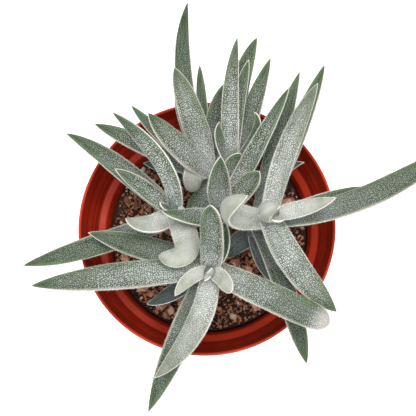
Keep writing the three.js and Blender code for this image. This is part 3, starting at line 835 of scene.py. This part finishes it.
# %% Bed of the soil
SOIL_LEVEL, SOIL_RADIUS, SOIL_SEED = 58.5, 32.7, 7
SOIL_BOTTOM, SOIL_BOTTOM_RADIUS, SOIL_WALL_TOP = 1.7, 27.2, 57
PUMICE = [  # place and size
    (-8, -24, 3.4), (-22, -18.5, 1.8), (-19, -20.5, 1.6), (-16, -24.5, 1.9), (-28, -8, 2.2),
    (9, -10, 2), (13.5, -12.5, 1.7), (16, -24.5, 1.8), (27, 10.5, 2.2), (-12.5, 16.5, 2.4),
]
soil_seed = np.random.default_rng(SOIL_SEED)


def soil_height(x, y):
    """Height of the rough bed: slow swells and quick lumps."""
    slow = noise.noise(Vector((x / 7, y / 7, 3.1))) * 0.9
    quick = noise.noise(Vector((x / 2, y / 2, 9.7))) * 0.7
    return SOIL_LEVEL + slow + quick


def soil_bed(around=128, rings=44):
    radii = np.linspace(SOIL_RADIUS, 0.4, rings)
    angles = np.arange(around) / around * 2 * math.pi
    points = [(r * math.cos(a), r * math.sin(a)) for r in radii for a in angles]
    top = [(x, y, soil_height(x, y)) for x, y in points]
    wall = [(SOIL_BOTTOM_RADIUS, SOIL_BOTTOM), (SOIL_RADIUS, SOIL_WALL_TOP)]
    sides = [(r * math.cos(a), r * math.sin(a), z) for r, z in wall for a in angles]
    ends = [(0, 0, SOIL_BOTTOM), (0, 0, soil_height(0, 0))]
    every = np.array(sides + top + ends)
    marks = {"tone": np.zeros(len(every)), "stone": np.zeros(len(every))}
    return every, rings_to_faces(rings + len(wall), around), marks


# %% Balls and crumbs
FIBRE_LENGTH, FIBRE_THICKNESS, FIBRE_LIFT = (0.7, 1.8), (0.12, 0.2), 0.45


def ball(detail):
    """The points and faces of a ball of radius 1."""
    shape = bmesh.new()
    bmesh.ops.create_icosphere(shape, subdivisions=detail, radius=1)
    points = np.array([vertex.co[:] for vertex in shape.verts])
    faces = [[vertex.index for vertex in face.verts] for face in shape.faces]
    shape.free()
    return points, faces


BALLS = {detail: ball(detail) for detail in (1, 2, 3)}
print("triangles of the balls:", [len(faces) for _, faces in BALLS.values()])


def crumb(place, size, detail, tone, stone=0.0, roughness=0.5, stretch=(0.45, 1.25)):
    """A dented ball, stretched and turned at random. tone is how light it is, stone 1 for pumice."""
    points, faces = BALLS[detail]
    shift = Vector(soil_seed.uniform(-50, 50, 3))
    dents = np.array([noise.noise(Vector(point) * 1.7 + shift) for point in points])
    points = points * (1 + roughness * dents)[:, None] * soil_seed.uniform(*stretch, 3)
    turn = np.linalg.qr(soil_seed.normal(size=(3, 3)))[0]
    turn *= np.sign(np.linalg.det(turn))
    points = points @ turn.T * size + place
    return points, faces, {"tone": np.full(len(points), tone), "stone": np.full(len(points), stone)}


# %% Crumbs and fibres all over the bed
def strewn(count, small, large, detail):
    """Crumbs spread evenly over the bed."""
    made = []
    for _ in range(count):
        reach = (SOIL_RADIUS - large * 0.8) * math.sqrt(soil_seed.uniform())
        turn = soil_seed.uniform(0, 2 * math.pi)
        x, y = reach * math.cos(turn), reach * math.sin(turn)
        size = small + (large - small) * soil_seed.uniform() ** 2
        place = (x, y, soil_height(x, y) + size * soil_seed.uniform(0.0, 0.6))
        made.append(crumb(place, size, detail, soil_seed.uniform()))
    return made


def fibres_of_coco(count):
    """Long thin crumbs that lie nearly flat on the bed."""
    made = []
    for _ in range(count):
        reach = (SOIL_RADIUS - 2) * math.sqrt(soil_seed.uniform())
        turn = soil_seed.uniform(0, 2 * math.pi)
        x, y = reach * math.cos(turn), reach * math.sin(turn)
        points, faces, marks = crumb((0, 0, 0), 1.0, 1, soil_seed.uniform(0.5, 1.0), roughness=0.2)
        long, thin = soil_seed.uniform(*FIBRE_LENGTH), soil_seed.uniform(*FIBRE_THICKNESS)
        lie = soil_seed.uniform(0, math.pi)
        points = points * (long, thin, thin) + (0, 0, 1) * (points[:, :1] * soil_seed.uniform(-0.3, 0.3))
        across = points[:, 0] * math.sin(lie) + points[:, 1] * math.cos(lie)
        points[:, 0] = points[:, 0] * math.cos(lie) - points[:, 1] * math.sin(lie)
        points[:, 1] = across
        made.append((points + (x, y, soil_height(x, y) + FIBRE_LIFT), faces, marks))
    return made


# %% [markdown]
# Wet coco crumbs are reddish brown, nearly black in the gaps, with some fresh orange ones. Pumice is
# tan to pink and full of pores, whose pits are drawn darker as painted shade. One finish serves both:
# the marks say which kind a grain is and how light it is.

# %% Soil finish
def potting_mix():
    finish = Finish("gritty potting mix")
    tone, stone = finish.mark("tone"), finish.mark("stone")
    fibre = finish.cloud(0.5, 4)
    crumbs = finish.blend(finish.ramp(tone, 0.1, 0.7), colour(44, 25, 19), colour(168, 116, 94))
    crumbs = finish.blend(finish.ramp(tone, 0.72, 0.88) * 0.9, crumbs, colour(204, 134, 88))
    crumbs = finish.blend(finish.ramp(tone, 0.955, 0.97), crumbs, colour(206, 180, 160))
    crumbs = finish.blend(finish.ramp(fibre, 0.5, 0.75) * 0.5, crumbs, colour(40, 22, 18))
    pores = finish.ramp(finish.cells(0.55), 0.15, 0.45)
    pumice = finish.blend(finish.cloud(1.6, 3), colour(190, 130, 100), colour(226, 190, 166))
    # Painted shade: the pits of the pores drawn darker.
    pumice = finish.blend(pores, colour(120, 76, 58), pumice)
    grain = finish.blend(stone, crumbs, pumice)
    return finish.done({
        "Base Color": grain,
        "Roughness": (0.86 + fibre * 0.12).clamped(),
        "Normal": finish.bump(fibre * 0.6 + pores * 0.4, 0.25, 0.8),
        "Specular IOR Level": 0.3,
    })


# %% Place the soil
STONE_SINK, STONE_RISE, STONE_ROUGHNESS = 0.5, 0.15, 0.45
COARSE_CRUMBS, SMALL_CRUMBS, COCO_FIBRES = 1000, 7400, 600


def pumice_stone(x, y, size):
    place = (x, y, SOIL_LEVEL - STONE_SINK + size * STONE_RISE)
    return crumb(place, size, 3, tone=0.5, stone=1.0, roughness=STONE_ROUGHNESS)


def lay_soil(name, parts, material):
    points, faces, marks = join_parts(parts)
    soil = make_piece(name, points, faces, material, marks)
    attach(soil, "root")
    return soil


soil_parts = [soil_bed()] + [pumice_stone(*stone) for stone in PUMICE]
soil_parts += strewn(COARSE_CRUMBS, 0.45, 1.3, 2)
crumb_parts = strewn(SMALL_CRUMBS, 0.3, 0.75, 1) + fibres_of_coco(COCO_FIBRES)
print("crumbs and fibres:", COARSE_CRUMBS + len(crumb_parts), "and stones:", len(PUMICE))
mix_material = potting_mix()
gritty_soil = lay_soil("gritty_soil", soil_parts, mix_material)
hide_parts("soil")
lay_soil("small_crumbs", crumb_parts, mix_material)

# %% [markdown]
# ## Floor, light and camera
# The plant stands on a plain white table under a wide soft light from above, with a weaker, cooler
# one in front and a white sky round it, as in a light tent: there are no hard shadows, and only the
# gaps between leaves are dark. The table glows a little, so that it stays white, and is so large that
# low views don't see its edge. The camera looks down from 600 mm, about 12 degrees off the upright,
# through a long lens.

# %% White table
def table_finish():
    finish = Finish("matt white table")
    tone = finish.ramp(finish.cloud(40, 2), 0.3, 0.7)
    white = finish.blend(tone, (0.9, 0.9, 0.9, 1), (0.92, 0.92, 0.92, 1))
    glow = {"Emission Color": (1, 1, 1, 1), "Emission Strength": 0.75}
    return finish.done({"Base Color": white, "Roughness": 0.9, **glow})


TABLE_HALF = 4000
table_corners = np.array([(-1, -1, 0), (1, -1, 0), (1, 1, 0), (-1, 1, 0)]) * TABLE_HALF
table = make_piece("table", table_corners, [(0, 1, 2, 3)], table_finish(), smooth=False)

# %% Soft light
def soft_light(name, place, aim, size, power, tint=(1, 1, 1)):
    lamp = bpy.data.lights.new(name, "AREA")
    lamp.shape, lamp.size, lamp.energy, lamp.color = "DISK", size, power, tint
    holder = bpy.data.objects.new(name, lamp)
    holder.location = Vector(place)
    holder.rotation_euler = (Vector(aim) - Vector(place)).to_track_quat("-Z", "Y").to_euler()
    bpy.context.scene.collection.objects.link(holder)
    return holder


soft_light("wide light above", (0.15, 0.1, 1.2), (0, 0, 0.08), 0.9, 19)
soft_light("cool fill in front", (-0.45, -0.75, 0.75), (0, 0, 0.08), 0.6, 4.5, (0.9, 0.95, 1))
sky = bpy.data.worlds.new("light tent")
sky.use_nodes = True
sky.node_tree.nodes["Background"].inputs["Color"].default_value = (0.95, 0.98, 1, 1)
sky.node_tree.nodes["Background"].inputs["Strength"].default_value = 0.2
bpy.context.scene.world = sky
bpy.context.scene.view_settings.view_transform = "Standard"
print("lights:", ", ".join(lamp.name for lamp in bpy.data.lights))

# %% Camera
CAMERA_TARGET, CAMERA_DISTANCE = (0.0005, 0.0064, 0.070), 0.600
TILT, AZIMUTH, LENS = math.radians(12.3), math.radians(14.7), 157.2
back = Vector((math.sin(TILT) * math.sin(AZIMUTH), -math.sin(TILT) * math.cos(AZIMUTH), math.cos(TILT)))
camera = bpy.data.objects.new("camera", bpy.data.cameras.new("camera"))
camera.data.lens, camera.data.sensor_width = LENS, 36
camera.data.clip_start, camera.data.clip_end = 0.01, 10
camera.location = Vector(CAMERA_TARGET) + back * CAMERA_DISTANCE
up = Vector((0, 1, 0)) - back * back.y
up.normalize()
right = up.cross(back)
camera.rotation_mode = "QUATERNION"
camera.rotation_quaternion = Matrix((right, up, back)).transposed().to_quaternion()
bpy.context.scene.collection.objects.link(camera)
bpy.context.scene.camera = camera
print("camera at, mm:", [round(value * 1000, 1) for value in camera.location])
